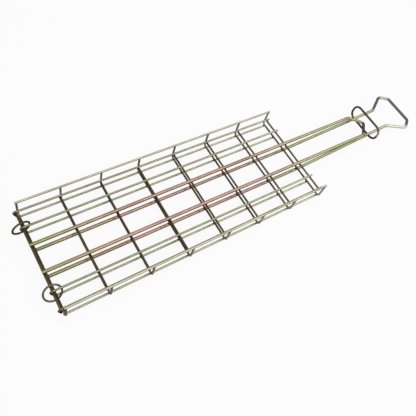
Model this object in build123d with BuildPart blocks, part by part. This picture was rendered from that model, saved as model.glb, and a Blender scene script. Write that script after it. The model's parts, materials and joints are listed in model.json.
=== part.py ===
from build123d import *
import math
import os

os.makedirs("parts", exist_ok=True)

# Hinged wire grid with two long handles, made of plated steel wire. Sizes are in millimetres.
# X runs along the basket towards the handles, Y across it and Z up. The origin is under the
# middle of the basket, on the surface that the tray's handle wires stand on.

# Wires
wire_d = 2.5             # cross wires, long wires and rims
handle_d = 4.0           # the two handle loops
hinge_wire_d = 2.2       # hinge rings
latch_wire_d = 3.0       # sliding latch ring
weld_set = 0.2           # how far spot-welded wires sink into each other
wire_overhang = 0.25     # bare wire past an end weld

# Basket
cross_count = 8          # cross wires in the tray, and in the lid
tray_pitch = 50.0        # between the tray's cross wires
tray_width = 130.5       # between the middles of the two side walls
wall_height = 24.4       # from the cross wires up to the rim wires
wall_bend = 4.0          # radius where a cross wire turns up into a post
tray_side_inset = 2.95   # outermost long wires of the tray, in from the side walls
lid_side_inset = 4.25    # outermost long wires of the lid, in from the side walls
mid_wire_inset = 25.25   # thin long wires beside the handle wires, in from the side walls
handle_wire_y = 17.0     # the two legs of each handle loop

# Lid
lid_gap = 11.0           # from the tray's cross wires up to the lid's
lid_pitch = 50.3         # between the lid's cross wires
hinge_overlap = 3.25     # how far the lid's end wire stands out past the tray's
lid_tip = 2.0            # thin lid wires past the lid's last cross wire
hook_tuck = 20.0         # degrees that the turned-down ends lean in under the lid's end wire
hook_tail = 7.2          # straight length of a turned-down end

# Tray handle
slope = 0.073            # rise of the handle per millimetre of reach
rise_bend = 40.0         # gentle bend where the handle starts to rise
rise_offset = 3.5        # start of the rise past the last cross wire
grip_start = 173.0       # past the last cross wire, where the legs flare out
grip_flare = 26.5        # length of the flare
grip_nose = 12.5         # from the widest point to the end bar
neck_half = 15.5         # the legs draw in to this half width before they flare
grip_half = 31.6         # widest half width
nose_half = 22.3         # half length of the end bar
flare_bend = 8.0
grip_bend = 5.0

# Lid handle
taper_start = 119.5      # past the tray's last cross wire, where the legs draw in
taper_length = 16.5      # from there to the pointed end
taper_bend = 5.0
point_bend = 4.0

# Latch ring, around both handles when it is closed
latch_width = 53.2       # middle of wire to middle of wire, across the handle
latch_corner = 9.0
latch_play = 0.35        # between the ring and each handle, when closed
latch_place = 42.5       # closed place, past the tray's last cross wire
latch_park = 1.0         # gap to the point of the lid handle when it is slid off

# Hinge rings, each around both end wires
ring_slack = 1.4         # how far the leaning ring stands off the line between the end wires
ring_play = 0.3          # between a ring and an end wire
far_ring_beside = 4.1    # middle of the upright ring, out from the middle of a mid wire
far_ring_turn = 8.0      # degrees about Z
near_ring_beside = 1.3   # middle of the leaning ring, in from the middle of a mid wire
near_ring_lean = 33.0    # degrees about X, top edge away from the side wall
ring_floor_gap = 0.05    # between the upright ring and the surface below

# Levels of the wires' middles
wire_r = wire_d / 2
handle_r = handle_d / 2
thin_step = wire_d - weld_set                       # from a cross wire to a thin wire on it
thick_step = wire_r + handle_r - weld_set           # from a cross wire to a handle wire on it
tray_z = handle_r + thick_step
tray_long_z = tray_z - thin_step
up_bend = max(0, wall_bend - tray_side_inset)       # from the foot of the bend out to a side wire
tray_side_z = tray_z + wall_bend - math.sqrt((wall_bend + thin_step) ** 2 - up_bend**2)
tray_handle_z = tray_z - thick_step
rim_z = tray_z + wall_height
lid_z = tray_z + lid_gap
lid_long_z = lid_z + thin_step
lid_handle_z = lid_z + thick_step

# Places along X
tray_length = tray_pitch * (cross_count - 1)
tray_start = -tray_length / 2
tray_end = tray_length / 2
end_cover = wire_r + wire_overhang
lid_start = tray_start - hinge_overlap
lid_end = lid_start + lid_pitch * (cross_count - 1)
wall_y = tray_width / 2
tray_side_y = wall_y - tray_side_inset
lid_side_y = wall_y - lid_side_inset
mid_wire_y = wall_y - mid_wire_inset


def straight_wire(start, end, diameter):
    """A straight piece of round wire from start to end."""
    run = Vector(*end) - Vector(*start)
    with BuildPart() as wire:
        with BuildSketch(Plane(origin=start, z_dir=run)):
            Circle(diameter / 2)
        extrude(amount=run.length)
    return wire.part


def bent_wire(points, bends, diameter, closed=False):
    """One piece of round wire along points, with a bend radius at each corner."""
    with BuildPart() as wire:
        with BuildLine() as route:
            FilletPolyline(*points, radius=bends, close=closed)
        with BuildSketch(Plane(origin=route.line @ 0, z_dir=route.line % 0)):
            Circle(diameter / 2)
        sweep()
    return wire.part


def save(part, label):
    """Name a finished piece and write it."""
    part.label = label
    export_step(part, f"parts/{label}.step")


def both_sides(y):
    """The far side has positive Y, the near side negative Y."""
    return (("far", y), ("near", -y))


# Tray: U-shaped cross wires, flat across the bottom and turned up into a post on each side
post_end = rim_z - wire_r + weld_set
for index in range(cross_count):
    x = tray_start + index * tray_pitch
    profile = [(x, wall_y, post_end), (x, wall_y, tray_z), (x, -wall_y, tray_z), (x, -wall_y, post_end)]
    save(bent_wire(profile, [wall_bend, wall_bend], wire_d), f"tray_cross_wire_{index + 1}")

# Tray: thin long wires under the cross wires, and a rim wire along the tops of the posts
for side, y in both_sides(tray_side_y):
    start = (tray_start - end_cover, y, tray_side_z)
    save(straight_wire(start, (tray_end + end_cover, y, tray_side_z), wire_d), f"tray_side_wire_{side}")
for side, y in both_sides(mid_wire_y):
    start = (tray_start - end_cover, y, tray_long_z)
    save(straight_wire(start, (tray_end + end_cover, y, tray_long_z), wire_d), f"tray_mid_wire_{side}")
for side, y in both_sides(wall_y):
    start = (tray_start - end_cover, y, rim_z)
    save(straight_wire(start, (tray_end + end_cover, y, rim_z), wire_d), f"tray_rim_{side}")

# Tray handle: one wire that carries the basket, rises past its end and flares into a grip
rise_x = tray_end + rise_offset


def on_rise(x, y):
    """A point of the tray handle, at its height on the rise."""
    return (x, y, tray_handle_z + slope * (x - rise_x))


grip_x = tray_end + grip_start
wide_x = grip_x + grip_flare
nose_x = wide_x + grip_nose
far_leg = [
    (tray_start - end_cover, handle_wire_y, tray_handle_z),
    on_rise(rise_x, handle_wire_y),
    on_rise(grip_x, neck_half),
    on_rise(wide_x, grip_half),
    on_rise(nose_x, nose_half),
]
near_leg = [(x, -y, z) for x, y, z in reversed(far_leg)]
leg_bends = [rise_bend, flare_bend, grip_bend, grip_bend]
tray_handle = bent_wire(far_leg + near_leg, leg_bends + leg_bends[::-1], handle_d)
save(tray_handle, "tray_handle_loop")

# Lid: straight cross wires
lid_half = lid_side_y + end_cover
for index in range(cross_count):
    x = lid_start + index * lid_pitch
    save(straight_wire((x, lid_half, lid_z), (x, -lid_half, lid_z), wire_d), f"lid_cross_wire_{index + 1}")

# Lid: thin long wires over the cross wires, each wrapped down round the outside of the end wire
# and tucked in under it
hook_turn = math.radians(90 + hook_tuck)
wrap = thin_step * math.tan(hook_turn / 2)
hook_x = lid_start - wrap
tip_x = hook_x - (wrap + hook_tail) * math.cos(hook_turn)
tip_z = lid_long_z - (wrap + hook_tail) * math.sin(hook_turn)
for name, spacing in (("side", lid_side_y), ("mid", mid_wire_y)):
    for side, y in both_sides(spacing):
        route = [(lid_end + wire_r + lid_tip, y, lid_long_z), (hook_x, y, lid_long_z), (tip_x, y, tip_z)]
        save(bent_wire(route, [thin_step], wire_d), f"lid_{name}_wire_{side}")

# Lid handle: one wire over the lid's cross wires, drawn in to a point
taper_x = tray_end + taper_start
point_x = taper_x + taper_length
lid_loop = [
    (lid_start - end_cover, handle_wire_y, lid_handle_z),
    (taper_x, handle_wire_y, lid_handle_z),
    (point_x, 0, lid_handle_z),
    (taper_x, -handle_wire_y, lid_handle_z),
    (lid_start - end_cover, -handle_wire_y, lid_handle_z),
]
lid_handle = bent_wire(lid_loop, [taper_bend, point_bend, taper_bend], handle_d)
save(lid_handle, "lid_handle_loop")

# Latch ring: a closed oblong of wire, upright on the tray handle and slid off the lid handle.
# Its height is what holds both handles at its closed place.
latch_r = latch_wire_d / 2
closed_x = tray_end + latch_place
closed_z = on_rise(closed_x, 0)[2]
latch_reach = handle_r + latch_r + latch_play
latch_height = lid_handle_z - closed_z + 2 * latch_reach
point_half_angle = math.atan2(handle_wire_y, taper_length)
point_tip = point_x - point_bend * (1 / math.sin(point_half_angle) - 1) + handle_r
park_x = point_tip + latch_park + latch_r
park_z = on_rise(park_x, 0)[2] - latch_reach
side_y = latch_width / 2
latch_corners = [
    (park_x, side_y, park_z),
    (park_x, side_y, park_z + latch_height),
    (park_x, -side_y, park_z + latch_height),
    (park_x, -side_y, park_z),
]
save(bent_wire(latch_corners, latch_corner, latch_wire_d, closed=True), "latch_ring")

# Hinge rings: two closed round rings that tie the lid's end wire to the tray's. Their size
# comes from the leaning one, which spans both end wires along its slant.
hinge_r = hinge_wire_d / 2
lean = math.radians(near_ring_lean)
stretch = 1 / math.cos(lean)
half_x = -hinge_overlap / 2
half_z = lid_gap / 2 * stretch
half_span = math.hypot(half_x, half_z)
ring_radius = math.hypot(half_span, ring_slack) + (hinge_r + wire_r) * stretch + ring_play
near_ring_x = tray_start + half_x - ring_slack * half_z / half_span
near_ring_y = near_ring_beside - mid_wire_y
near_ring_z = tray_z + (half_z + ring_slack * half_x / half_span) / stretch
near_axis = (0, math.cos(lean), -math.sin(lean))
with BuildPart(Plane(origin=(near_ring_x, near_ring_y, near_ring_z), z_dir=near_axis)) as near_ring:
    Torus(ring_radius, hinge_r)
save(near_ring.part, "hinge_ring_near")

# The other ring stands upright, a little turned, with the tray's end wire against its inside
turn = math.radians(far_ring_turn)
far_reach = ring_radius - (hinge_r + wire_r) / math.cos(turn) - ring_play
far_ring_z = ring_radius + hinge_r + ring_floor_gap
far_ring_x = tray_start - math.sqrt(far_reach**2 - (far_ring_z - tray_z) ** 2)
far_ring_y = mid_wire_y + far_ring_beside
far_axis = (-math.sin(turn), math.cos(turn), 0)
with BuildPart(Plane(origin=(far_ring_x, far_ring_y, far_ring_z), z_dir=far_axis)) as far_ring:
    Torus(ring_radius, hinge_r)
save(far_ring.part, "hinge_ring_far")

# Joint places
print("lid hinge axis through", (lid_start, 0, lid_z))
print("latch travel to its closed place", (closed_x - park_x) * math.hypot(1, slope))
print("ring middles", (far_ring_x, far_ring_y, far_ring_z), (near_ring_x, near_ring_y, near_ring_z))
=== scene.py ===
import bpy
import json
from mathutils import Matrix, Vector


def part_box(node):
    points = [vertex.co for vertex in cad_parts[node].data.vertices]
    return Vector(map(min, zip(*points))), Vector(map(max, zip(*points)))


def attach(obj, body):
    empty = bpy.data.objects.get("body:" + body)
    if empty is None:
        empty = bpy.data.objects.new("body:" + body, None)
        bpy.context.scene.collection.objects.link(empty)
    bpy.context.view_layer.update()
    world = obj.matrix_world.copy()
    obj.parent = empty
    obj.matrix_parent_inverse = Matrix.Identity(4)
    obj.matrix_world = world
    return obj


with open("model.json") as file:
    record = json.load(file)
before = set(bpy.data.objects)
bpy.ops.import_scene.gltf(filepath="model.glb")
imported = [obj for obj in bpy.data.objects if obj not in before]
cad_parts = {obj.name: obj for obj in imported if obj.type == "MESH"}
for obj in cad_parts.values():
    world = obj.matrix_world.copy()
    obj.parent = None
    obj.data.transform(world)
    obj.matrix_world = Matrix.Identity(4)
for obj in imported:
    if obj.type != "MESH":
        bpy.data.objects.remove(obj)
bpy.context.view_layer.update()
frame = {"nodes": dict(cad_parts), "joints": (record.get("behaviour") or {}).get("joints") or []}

import json
import math

import bmesh
import bpy
from mathutils import Matrix, Vector, noise

# Cross wires of the tray and of the lid. Hard-drawn steel wire, 2.5 mm, straight in the lid and
# bent up into posts in the tray. The whole grid is zinc plated and yellow passivated after it
# is welded. The wires that run across are painted dark, from olive brown to near black: painted
# shade and painted dark reflection, where the long wires catch the light.
SPANGLE_MM = 0.8        # zinc crystals, drawn about four times too coarse so that they show
FILM_PLAY_MM = 9.0      # patches of green and pink in the chromate film
PATCH_WIDTH = 0.3       # width of the patches along a straight wire, as a share of their length
DIE_LINE_MM = 0.48      # width of the lines left by the drawing die, drawn ten times too coarse
DIE_LINE_LONG_MM = 16.0
DIE_LINE_DEEP = 0.00002             # metres
THIN_FILM, FULL_FILM = 1.2, 0.85    # their roughness, as shares of the finish's own


def linear(code):
    """The linear colour for an sRGB code such as "#a09060", with full alpha."""
    parts = [int(code[i:i + 2], 16) / 255 for i in (1, 3, 5)]
    return [c / 12.92 if c <= 0.04045 else ((c + 0.055) / 1.055) ** 2.4 for c in parts] + [1.0]


def put(tree, kind, settings=None, inputs=None, stops=()):
    """Adds a node of one kind. Inputs are numbers, colours or the sockets of other nodes, and
    stops are the levels of a colour ramp, each with its colour code."""
    made = tree.nodes.new(kind)
    for name, value in (settings or {}).items():
        setattr(made, name, value)
    for name, value in (inputs or {}).items():
        if isinstance(value, bpy.types.NodeSocket):
            tree.links.new(value, made.inputs[name])
        else:
            made.inputs[name].default_value = value
    for index, (level, code) in enumerate(stops):
        ramp = made.color_ramp.elements
        stop = ramp[index] if index < 2 else ramp.new(level)
        stop.position = level
        stop.color = linear(code)
    return made


def passivated_zinc(name, shades, run, patch_mm, rough, edge, along=(), patches_and_painted_light=()):
    """Zinc plate with its yellow chromate film: a soft metal gloss whose colour drifts in patches
    patch_mm long and plays faintly from green to pink. It carries painted shade: palest on top and
    darkest underneath, by which way the surface faces. run is the axis that the wire lies along,
    None if it bends, and edge tints the metal where it is seen aslant. along holds axes, each with
    its (place_mm, tint) pairs. The last argument holds colours, each with its places, and some of
    these colours are painted highlights and painted shade. A place is a list of (axis, clear_mm,
    full_mm), and the colour lies where all of them are full."""
    metal = bpy.data.materials.new(name)
    metal.use_nodes = True
    tree = metal.node_tree
    tree.nodes.clear()
    where = put(tree, "ShaderNodeTexCoord")
    place = where.outputs["Object"]
    spot = dict(zip("XYZ", put(tree, "ShaderNodeSeparateXYZ", inputs={0: place}).outputs))
    per_m = [1000 / (patch_mm if run in (axis, None) else patch_mm * PATCH_WIDTH)
             for axis in "XYZ"]
    drift = put(tree, "ShaderNodeMapping", inputs={"Vector": place, "Scale": per_m}).outputs[0]
    drift = put(tree, "ShaderNodeTexNoise", inputs={
        "Vector": drift, "Scale": 1.0, "Detail": 2.0, "Distortion": 0.3}).outputs["Fac"]
    colour = put(tree, "ShaderNodeValToRGB", inputs={"Fac": drift}, stops=shades).outputs[0]

    # Painted shade: palest where the surface faces up, darkest where it faces down.
    upward = put(tree, "ShaderNodeSeparateXYZ", inputs={0: where.outputs["Normal"]}).outputs["Z"]
    upward = put(tree, "ShaderNodeMapRange", inputs={"Value": upward, "From Min": -1.0}).outputs[0]
    painted_shade_by_facing = put(tree, "ShaderNodeValToRGB", inputs={"Fac": upward}, stops=[
        (0.0, "#97958a"), (0.3, "#a8aa98"), (0.52, "#c9c6b8"), (0.72, "#e0d2c6"),
        (0.93, "#ffffff")]).outputs[0]
    depth = put(tree, "ShaderNodeTexNoise", inputs={
        "Vector": place, "Scale": 1000 / FILM_PLAY_MM, "Detail": 3.0}).outputs["Fac"]
    play = put(tree, "ShaderNodeValToRGB", inputs={"Fac": depth}, stops=[
        (0.34, "#eefbe0"), (0.46, "#fffff4"), (0.56, "#fff6f4"), (0.68, "#f6eaf4")]).outputs[0]
    spangle = put(tree, "ShaderNodeTexVoronoi", inputs={
        "Vector": place, "Scale": 1000 / SPANGLE_MM}).outputs["Color"]
    spangle = put(tree, "ShaderNodeSeparateXYZ", inputs={0: spangle}).outputs[0]
    shine = put(tree, "ShaderNodeMapRange", inputs={
        "Value": spangle, "To Min": 0.92, "To Max": 1.03}).outputs[0]
    shares = [painted_shade_by_facing, play, shine]
    for axis, tints in along:
        first, last = tints[0][0], tints[-1][0]
        reach = put(tree, "ShaderNodeMapRange", inputs={
            "Value": spot[axis], "From Min": first / 1000, "From Max": last / 1000}).outputs[0]
        shares.append(put(tree, "ShaderNodeValToRGB", inputs={"Fac": reach}, stops=[
            ((mm - first) / (last - first), code) for mm, code in tints]).outputs[0])
    for share in shares:
        colour = put(tree, "ShaderNodeVectorMath", {"operation": "MULTIPLY"},
                     {0: colour, 1: share}).outputs[0]
    # Colour patches, some of them painted highlights and painted shade, laid over the finish.
    for code, places in patches_and_painted_light:
        cover = 0.0
        for edges in places:
            here = 1.0
            for axis, clear_mm, full_mm in edges:
                side = put(tree, "ShaderNodeMapRange", inputs={
                    "Value": spot[axis], "From Min": clear_mm / 1000,
                    "From Max": full_mm / 1000}).outputs[0]
                here = put(tree, "ShaderNodeMath", {"operation": "MULTIPLY"},
                           {0: here, 1: side}).outputs[0]
            cover = put(tree, "ShaderNodeMath", {"operation": "MAXIMUM"},
                        {0: cover, 1: here}).outputs[0]
        patch_colour = put(tree, "ShaderNodeVectorMath", {"operation": "MULTIPLY"},
                   {0: shine, 1: linear(code)[:3]}).outputs[0]
        colour = put(tree, "ShaderNodeMix", {"data_type": "RGBA"},
                     {0: cover, 6: colour, 7: patch_colour}).outputs[2]

    polish = put(tree, "ShaderNodeMapRange", inputs={
        "Value": drift, "From Min": 0.3, "From Max": 0.7,
        "To Min": rough * THIN_FILM, "To Max": rough * FULL_FILM}).outputs[0]
    per_m = [1000 / (DIE_LINE_LONG_MM if axis == run else DIE_LINE_MM) for axis in "XYZ"]
    lines = put(tree, "ShaderNodeMapping", inputs={"Vector": place, "Scale": per_m}).outputs[0]
    lines = put(tree, "ShaderNodeTexNoise", inputs={"Vector": lines, "Scale": 1.0}).outputs["Fac"]
    relief = put(tree, "ShaderNodeBump", inputs={
        "Strength": 0.25, "Distance": DIE_LINE_DEEP, "Height": lines}).outputs[0]
    surface = put(tree, "ShaderNodeBsdfPrincipled", inputs={
        "Base Color": colour, "Metallic": 1.0, "Roughness": polish,
        "Specular Tint": linear(edge), "Normal": relief})
    put(tree, "ShaderNodeOutputMaterial", inputs={"Surface": surface.outputs[0]})
    return metal


def finish_wires(metal, *names):
    """Gives CAD wires their finish."""
    for name in names:
        for slot in frame["nodes"][name].material_slots:
            slot.material = metal


cross_shades = [(0.0, "#777065"), (0.36, "#8a8378"), (0.5, "#9f9783"), (0.62, "#8c8576"),
                (0.8, "#a79491")]
darker_to_hinge = ("X", [(-180.0, "#ccc4b2"), (-60.0, "#ccc4b2"), (60.0, "#dcd6c8"),
                         (176.0, "#ffffff")])
# The flat of the tray's cross wires is painted darker than the posts, painted shade. The near
# posts are violet, all but the last, and the far ones a cool grey, deeper in the middle of the row.
painted_shade_on_flat = ("Y", [(-66.5, "#fffaff"), (-62.0, "#fffaff"), (-56.0, "#bebdba"), (56.0, "#bababa"),
                    (62.0, "#f4f6ff"), (66.5, "#f4f6ff")])
violet_near_posts = ("#a48c90", [[("Y", -60.0, -64.0), ("Z", 34.0, 22.0)]])
grey_last_near_post = ("#938f8c", [[("Y", -60.0, -64.0), ("X", 150.0, 172.0)]])
grey_far_posts = ("#8f9094", [[("Y", 61.0, 63.5)]])
deeper_middle_posts = ("#747372", [[("Y", 61.0, 63.5), ("X", -60.0, -30.0), ("X", 172.0, 150.0)]])
tray_cross_metal = passivated_zinc("olive passivated tray wire painted dark", cross_shades, "Y", 34.0, 0.36,
                                   "#5c5650", [darker_to_hinge, painted_shade_on_flat],
                                   [violet_near_posts, grey_last_near_post, grey_far_posts,
                                    deeper_middle_posts])
finish_wires(tray_cross_metal, *[f"tray_cross_wire_{number}" for number in range(1, 9)])
# Painted shade: every cross wire of the lid is darkened evenly.
painted_shade_on_lid_wires = ("Y", [(-61.0, "#c4c2be"), (61.0, "#bababa")])
lid_cross_metal = passivated_zinc("olive passivated lid wire painted dark", cross_shades, "Y", 34.0, 0.36,
                                  "#4a4339", [darker_to_hinge, painted_shade_on_lid_wires])
finish_wires(lid_cross_metal, *[f"lid_cross_wire_{number}" for number in range(1, 9)])

# Thin long wires: four under the tray's cross wires and four over the lid's, spot welded at each
# crossing. The same wire, painted bright, pale beige to olive green: the lit copy of the cross
# wires' finish. The ends turned down at the hinge are painted as dark as the wire that they hold,
# painted shade.
long_shades = [(0.0, "#9b9e7e"), (0.36, "#b2b89a"), (0.46, "#cdcbb6"), (0.56, "#b2bfa0"),
               (0.66, "#d3cbbd"), (0.84, "#c2ada7")]
brighter_to_grip = ("X", [(-180.0, "#d2d2cc"), (-60.0, "#dcd8d2"), (60.0, "#ece8e2"),
                          (175.0, "#ffffff")])
duller_on_lid = ("Z", [(6.0, "#ffffff"), (13.0, "#e8e8e4")])
# Painted shade on the ends turned down at the hinge.
painted_shade_ends = ("#6c5e50", [[("X", -177.0, -178.6)]])
long_metal = passivated_zinc("olive passivated wire", long_shades, "X", 62.0, 0.3, "#1d1913",
                             [brighter_to_grip, duller_on_lid], [painted_shade_ends])
for part in ("tray_side_wire", "tray_mid_wire", "lid_side_wire", "lid_mid_wire"):
    finish_wires(long_metal, f"{part}_far", f"{part}_near")

# Rims: one wire along the tops of the posts on each side, welded down on them. They hang
# highest in the bath and come out palest, a beige that turns a little green.
rim_shades = [(0.0, "#9c9b87"), (0.38, "#aeb09a"), (0.5, "#bebeaa"), (0.62, "#abb197"),
              (0.82, "#c0b4ac")]
rim_metal = passivated_zinc("pale passivated rim wire", rim_shades, "X", 70.0, 0.3, "#2a251c")
finish_wires(rim_metal, "tray_rim_far", "tray_rim_near")

# The two handle loops, 4 mm wire, bent and then welded to the cross wires: olive gold beyond the
# basket and coppery over it. Grip and point carry painted light: painted shade, blue grey, on the
# grip's end bar, on parts of its sides and on the near side of the lid's point, and painted
# highlights, pale beige to bright, on the grip's near side and far corner.
handle_shades = [(0.0, "#8e9278"), (0.36, "#a1a488"), (0.48, "#b4b49e"), (0.58, "#a3aa90"),
                 (0.7, "#b8b5a2"), (0.84, "#a7a094")]
coppery_middle = ("X", [(-178.0, "#cccca8"), (-140.0, "#e4d4c2"), (-85.0, "#fad0d8"),
                        (-20.0, "#ffd0e4"), (110.0, "#ffd4e0"), (190.0, "#f4f0dc"),
                        (300.0, "#f2f3e2"), (330.0, "#ffffff")])
# Painted highlights: bright on the near side of the grip, pale beige on its far corner.
painted_highlight_near_side = ("#c4c3b4", [[("Y", -14.5, -18.0), ("X", 346.0, 350.0), ("X", 378.0, 374.0)]])
painted_highlight_far_corner = ("#b0a799", [[("Y", 17.0, 20.0), ("X", 372.5, 376.0)]])
# Painted shade, blue grey, on the grip's end bar, its near side by the nose and its far side.
painted_shade_grey = ("#67666b", [[("X", 383.5, 385.6)], [("Y", -17.0, -19.0), ("X", 375.5, 378.5)],
                         [("Y", 15.2, 17.0), ("X", 346.0, 350.0), ("X", 376.5, 372.5)]])
tray_handle_metal = passivated_zinc("olive gold passivated handle wire", handle_shades, "X", 80.0,
                                    0.27, "#1d1913", [coppery_middle],
                                    [painted_highlight_near_side, painted_highlight_far_corner, painted_shade_grey])
finish_wires(tray_handle_metal, "tray_handle_loop")
warm_taper = ("#9e9076", [[("X", 277.0, 284.0)]])
# Painted shade, blue grey, on the near side of the lid's point.
painted_shade_point = ("#55545b", [[("Y", 2.5, -1.0), ("X", 293.5, 297.0)]])
lid_handle_metal = passivated_zinc("coppery passivated handle wire", handle_shades, "X", 80.0,
                                   0.27, "#1d1913", [coppery_middle],
                                   [warm_taper, painted_shade_point])
finish_wires(lid_handle_metal, "lid_handle_loop")

# Spot welds. Where two wires cross they are squeezed together red hot, and a collar of metal is
# pressed out round the contact. The collars are plated with the rest, and come out dull and dark.
HANDLE_LEG_Y = 0.017            # from the middle of the basket to either leg of a handle
PRESSED_IN = 0.0001             # half of how far two welded wires sink into each other
THIN_COLLAR = (0.0018, 0.0018, 0.0008)      # how far a collar reaches along X, Y and Z
HANDLE_COLLAR = (0.0018, 0.0024, 0.0009)
RIM_COLLAR = (0.0021, 0.0012, 0.0006)
COLLAR_SIDES = 14
COLLAR_LEVELS = [(0.6, -0.8), (0.94, -0.3), (1.0, 0.15), (0.62, 0.78)]  # out and up, as shares
LIP, LIP_PLAY = 0.92, 0.1       # mean width of the uneven lip and its play, as shares
NEXT_LIP = 3.7                  # step of the seed, so that no two lips are alike


def press_collar(mesh, to_place, reach, seed):
    """One collar: a flat closed lens of metal with an uneven lip. to_place turns and moves it."""
    under = mesh.verts.new(to_place @ Vector((0, 0, -reach[2])))
    over = mesh.verts.new(to_place @ Vector((0, 0, reach[2])))
    rings = []
    for out, up in COLLAR_LEVELS:
        ring = []
        for step in range(COLLAR_SIDES):
            angle = math.tau * step / COLLAR_SIDES
            across, along = math.cos(angle), math.sin(angle)
            lip = LIP + LIP_PLAY * noise.noise(Vector((2 * across + seed, 2 * along, up)))
            point = Vector((reach[0] * out * lip * across, reach[1] * out * lip * along,
                            reach[2] * up))
            ring.append(mesh.verts.new(to_place @ point))
        rings.append(ring)
    for step in range(COLLAR_SIDES):
        after = (step + 1) % COLLAR_SIDES
        mesh.faces.new((under, rings[0][after], rings[0][step]))
        mesh.faces.new((over, rings[-1][step], rings[-1][after]))
        for low, high in zip(rings[:-1], rings[1:]):
            mesh.faces.new((low[step], low[after], high[after], high[step]))


def welded_piece(name, mesh, metal, body):
    """Turns the collars into one piece that rides on a body."""
    shape = bpy.data.meshes.new(name)
    mesh.to_mesh(shape)
    mesh.free()
    for face in shape.polygons:
        face.use_smooth = True
    shape.materials.append(metal)
    piece = bpy.data.objects.new(name, shape)
    bpy.context.scene.collection.objects.link(piece)
    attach(piece, body)


def middle(name):
    """The middle of a CAD node's box."""
    low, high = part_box(name)
    return (Vector(low) + Vector(high)) / 2


weld_shades = [(0.0, "#3d372b"), (0.4, "#4f4838"), (0.55, "#5e5743"), (0.7, "#4a4438"),
               (0.9, "#6b6450")]
weld_metal = passivated_zinc("dull passivated weld metal", weld_shades, None, 6.0, 0.5, "#3a342a")
for body in ("tray", "lid"):
    collars = bmesh.new()
    seed = 0.0
    for number in range(1, 9):
        crossing = f"{body}_cross_wire_{number}"
        x = middle(crossing).x
        # The lid's thin wires are hooked round its first cross wire, and not welded to it.
        thin = [f"{body}_{part}_wire_{side}" for part in ("side", "mid") for side in ("far", "near")
                if body == "tray" or number > 1]
        welds = [(middle(wire).y, wire, THIN_COLLAR) for wire in thin]
        welds += [(y, f"{body}_handle_loop", HANDLE_COLLAR) for y in (-HANDLE_LEG_Y, HANDLE_LEG_Y)]
        for y, wire, reach in welds:
            if body == "lid":
                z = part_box(crossing)[1][2] - PRESSED_IN
            elif wire == "tray_handle_loop":
                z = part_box(crossing)[0][2] + PRESSED_IN
            else:
                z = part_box(wire)[1][2] - PRESSED_IN
            seed += NEXT_LIP
            press_collar(collars, Matrix.Translation((x, y, z)), reach, seed)
        if body == "tray":
            for side in ("far", "near"):
                rim = f"tray_rim_{side}"
                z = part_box(rim)[0][2] + PRESSED_IN
                seed += NEXT_LIP
                press_collar(collars, Matrix.Translation((x, middle(rim).y, z)), RIM_COLLAR, seed)
    welded_piece(f"{body}_spot_welds", collars, weld_metal, body)

# Latch ring: 3 mm wire bent to an oblong and butt welded near the middle of its foot. It slides
# along both handles, so its film is rubbed to a brown violet, and its near end carries a painted
# highlight.
latch_shades = [(0.0, "#463a38"), (0.4, "#584b49"), (0.55, "#695b5a"), (0.7, "#5c5049"),
                (0.86, "#776860")]
# Painted highlight on the near end of the latch.
painted_highlight_near_end = ("#b0a286", [[("Y", -24.5, -26.5), ("Z", 17.0, 21.0)]])
latch_metal = passivated_zinc("brown violet latch wire", latch_shades, None, 20.0, 0.3, "#3a3230",
                              patches_and_painted_light=[painted_highlight_near_end])
finish_wires(latch_metal, "latch_ring")
LATCH_WIRE_R = 0.0015
LATCH_SEAM = (LATCH_WIRE_R + 0.00025, LATCH_WIRE_R + 0.00025, 0.0008)
SEAM_ASIDE = 0.004              # from the middle of the foot
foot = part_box("latch_ring")[0][2] + LATCH_WIRE_R
on_foot = Matrix.Translation((middle("latch_ring").x, SEAM_ASIDE, foot))
seam = bmesh.new()
press_collar(seam, on_foot @ Matrix.Rotation(math.radians(90), 4, "X"), LATCH_SEAM, seed=1.3)
welded_piece("latch_seam", seam, latch_metal, "latch")

# Hinge rings: 2.2 mm wire closed round both end wires and butt welded, so that they never come
# off. They swing loose and rub on the end wires, which leaves a dull grey olive.
ring_shades = [(0.0, "#56534a"), (0.4, "#6a675a"), (0.55, "#7f7c6d"), (0.7, "#6d685d"),
               (0.86, "#958e7d")]
darker_far_ring = ("Y", [(-45.0, "#ffffff"), (45.0, "#b8b4a8")])
ring_metal = passivated_zinc("grey olive ring wire", ring_shades, None, 16.0, 0.32, "#2c2820",
                             [darker_far_ring])
finish_wires(ring_metal, "hinge_ring_far", "hinge_ring_near")
RING_WIRE_R = 0.0011
RING_SEAM = (RING_WIRE_R + 0.0002, RING_WIRE_R + 0.0002, 0.0006)
SEAM_TURN = {"far": 25, "near": -40}    # degrees on from the outermost place of the ring
for side, turn in SEAM_TURN.items():
    ring = f"hinge_ring_{side}"
    joint = [each for each in frame["joints"] if each["name"] == f"{side}_ring_turn"][0]
    axis = Vector(joint["axis"]).normalized()
    outwards = (Vector((-1, 0, 0)) + axis * axis.x).normalized()
    low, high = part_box(ring)
    radius = ((high[0] - low[0]) / 2 - RING_WIRE_R) / abs(outwards.x)
    outwards.rotate(Matrix.Rotation(math.radians(turn), 3, axis))
    along_wire = axis.cross(outwards).to_track_quat("Z", "Y").to_matrix().to_4x4()
    seam = bmesh.new()
    press_collar(seam, Matrix.Translation(middle(ring) + outwards * radius) @ along_wire,
                 RING_SEAM, seed=2.1 + turn)
    welded_piece(f"hinge_ring_seam_{side}", seam, ring_metal, f"{side}_hinge_ring")

# Floor, light and camera. A white table under one large soft lamp from the handle side, which
# draws a bright line along the long wires and none along the cross wires, which are painted dark.
TABLE_HALF = 6.0
SHOWS_WHITE = 0.9               # share of plain white in the table; the rest takes the shadow
ROOM_LIGHT = 0.6                # strength at which the white room lights the grid


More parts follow.
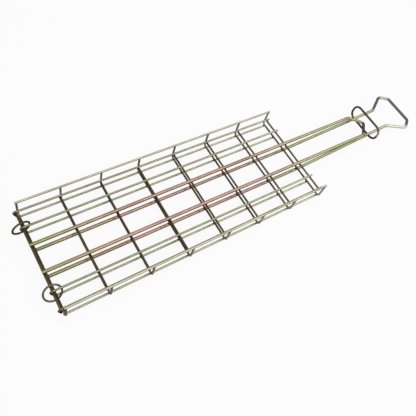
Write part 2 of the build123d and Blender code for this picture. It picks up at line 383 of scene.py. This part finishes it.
def looked_at(tree):
    """1 for rays that show the background, straight, mirrored or through glass, and 0 for the
    rays that light things."""
    rays = put(tree, "ShaderNodeLightPath").outputs
    seen = put(tree, "ShaderNodeMath", {"operation": "MAXIMUM"},
               {0: rays["Is Camera Ray"], 1: rays["Is Glossy Ray"]}).outputs[0]
    return put(tree, "ShaderNodeMath", {"operation": "MAXIMUM"},
               {0: seen, 1: rays["Is Transmission Ray"]}).outputs[0]


table_top = bpy.data.meshes.new("white table")
table_top.from_pydata([(x * TABLE_HALF, y * TABLE_HALF, 0)
                       for x, y in ((-1, -1), (1, -1), (1, 1), (-1, 1))], [], [(0, 1, 2, 3)])
floor = bpy.data.objects.new("floor", table_top)
bpy.context.scene.collection.objects.link(floor)
paper = bpy.data.materials.new("white table paper")
paper.use_nodes = True
tree = paper.node_tree
tree.nodes.clear()
share = put(tree, "ShaderNodeMath", {"operation": "MULTIPLY"}, {0: looked_at(tree), 1: SHOWS_WHITE})
matt = put(tree, "ShaderNodeBsdfDiffuse", inputs={"Color": linear("#f2f2f2")})
white = put(tree, "ShaderNodeEmission", inputs={"Color": linear("#ffffff"), "Strength": 1.0})
both = put(tree, "ShaderNodeMixShader", inputs={
    0: share.outputs[0], 1: matt.outputs[0], 2: white.outputs[0]})
put(tree, "ShaderNodeOutputMaterial", inputs={"Surface": both.outputs[0]})
table_top.materials.append(paper)

room = bpy.data.worlds.new("white room")
bpy.context.scene.world = room
room.use_nodes = True
tree = room.node_tree
tree.nodes.clear()
level = put(tree, "ShaderNodeMapRange", inputs={
    "Value": looked_at(tree), "To Min": ROOM_LIGHT, "To Max": 1.0})
sky = put(tree, "ShaderNodeBackground", inputs={
    "Color": linear("#ffffff"), "Strength": level.outputs[0]})
put(tree, "ShaderNodeOutputWorld", inputs={"Surface": sky.outputs[0]})

window = bpy.data.lights.new("long soft lamp", "AREA")
window.shape = "RECTANGLE"
window.size = 2.4
window.size_y = 0.5
window.energy = 9.0
stand = bpy.data.objects.new("long soft lamp", window)
stand.location = (0.8, -0.6, 1.2)
stand.rotation_euler = Vector((0.0, 0.6, -1.2)).to_track_quat("-Z", "Y").to_euler()
bpy.context.scene.collection.objects.link(stand)

# The camera stands where it draws the straight wires as the photograph has them.
eye = bpy.data.cameras.new("camera")
eye.sensor_width = 36.0
eye.lens = 42.58
eye.shift_x = 0.024
eye.shift_y = -0.039
eye.clip_start = 0.01
camera = bpy.data.objects.new("camera", eye)
stands_at = Vector((-0.2306, -0.2159, 0.5150))
ahead = Vector((0.42287, 0.36160, -0.83092)).normalized()
above = Vector((0.34699, 0.78244, 0.51709)).normalized()
right = ahead.cross(above).normalized()
above = right.cross(ahead)
camera.matrix_world = Matrix((
    (right.x, above.x, -ahead.x, stands_at.x),
    (right.y, above.y, -ahead.y, stands_at.y),
    (right.z, above.z, -ahead.z, stands_at.z),
    (0, 0, 0, 1)))
bpy.context.scene.collection.objects.link(camera)
bpy.context.scene.camera = camera
bpy.context.scene.view_settings.view_transform = "Standard"
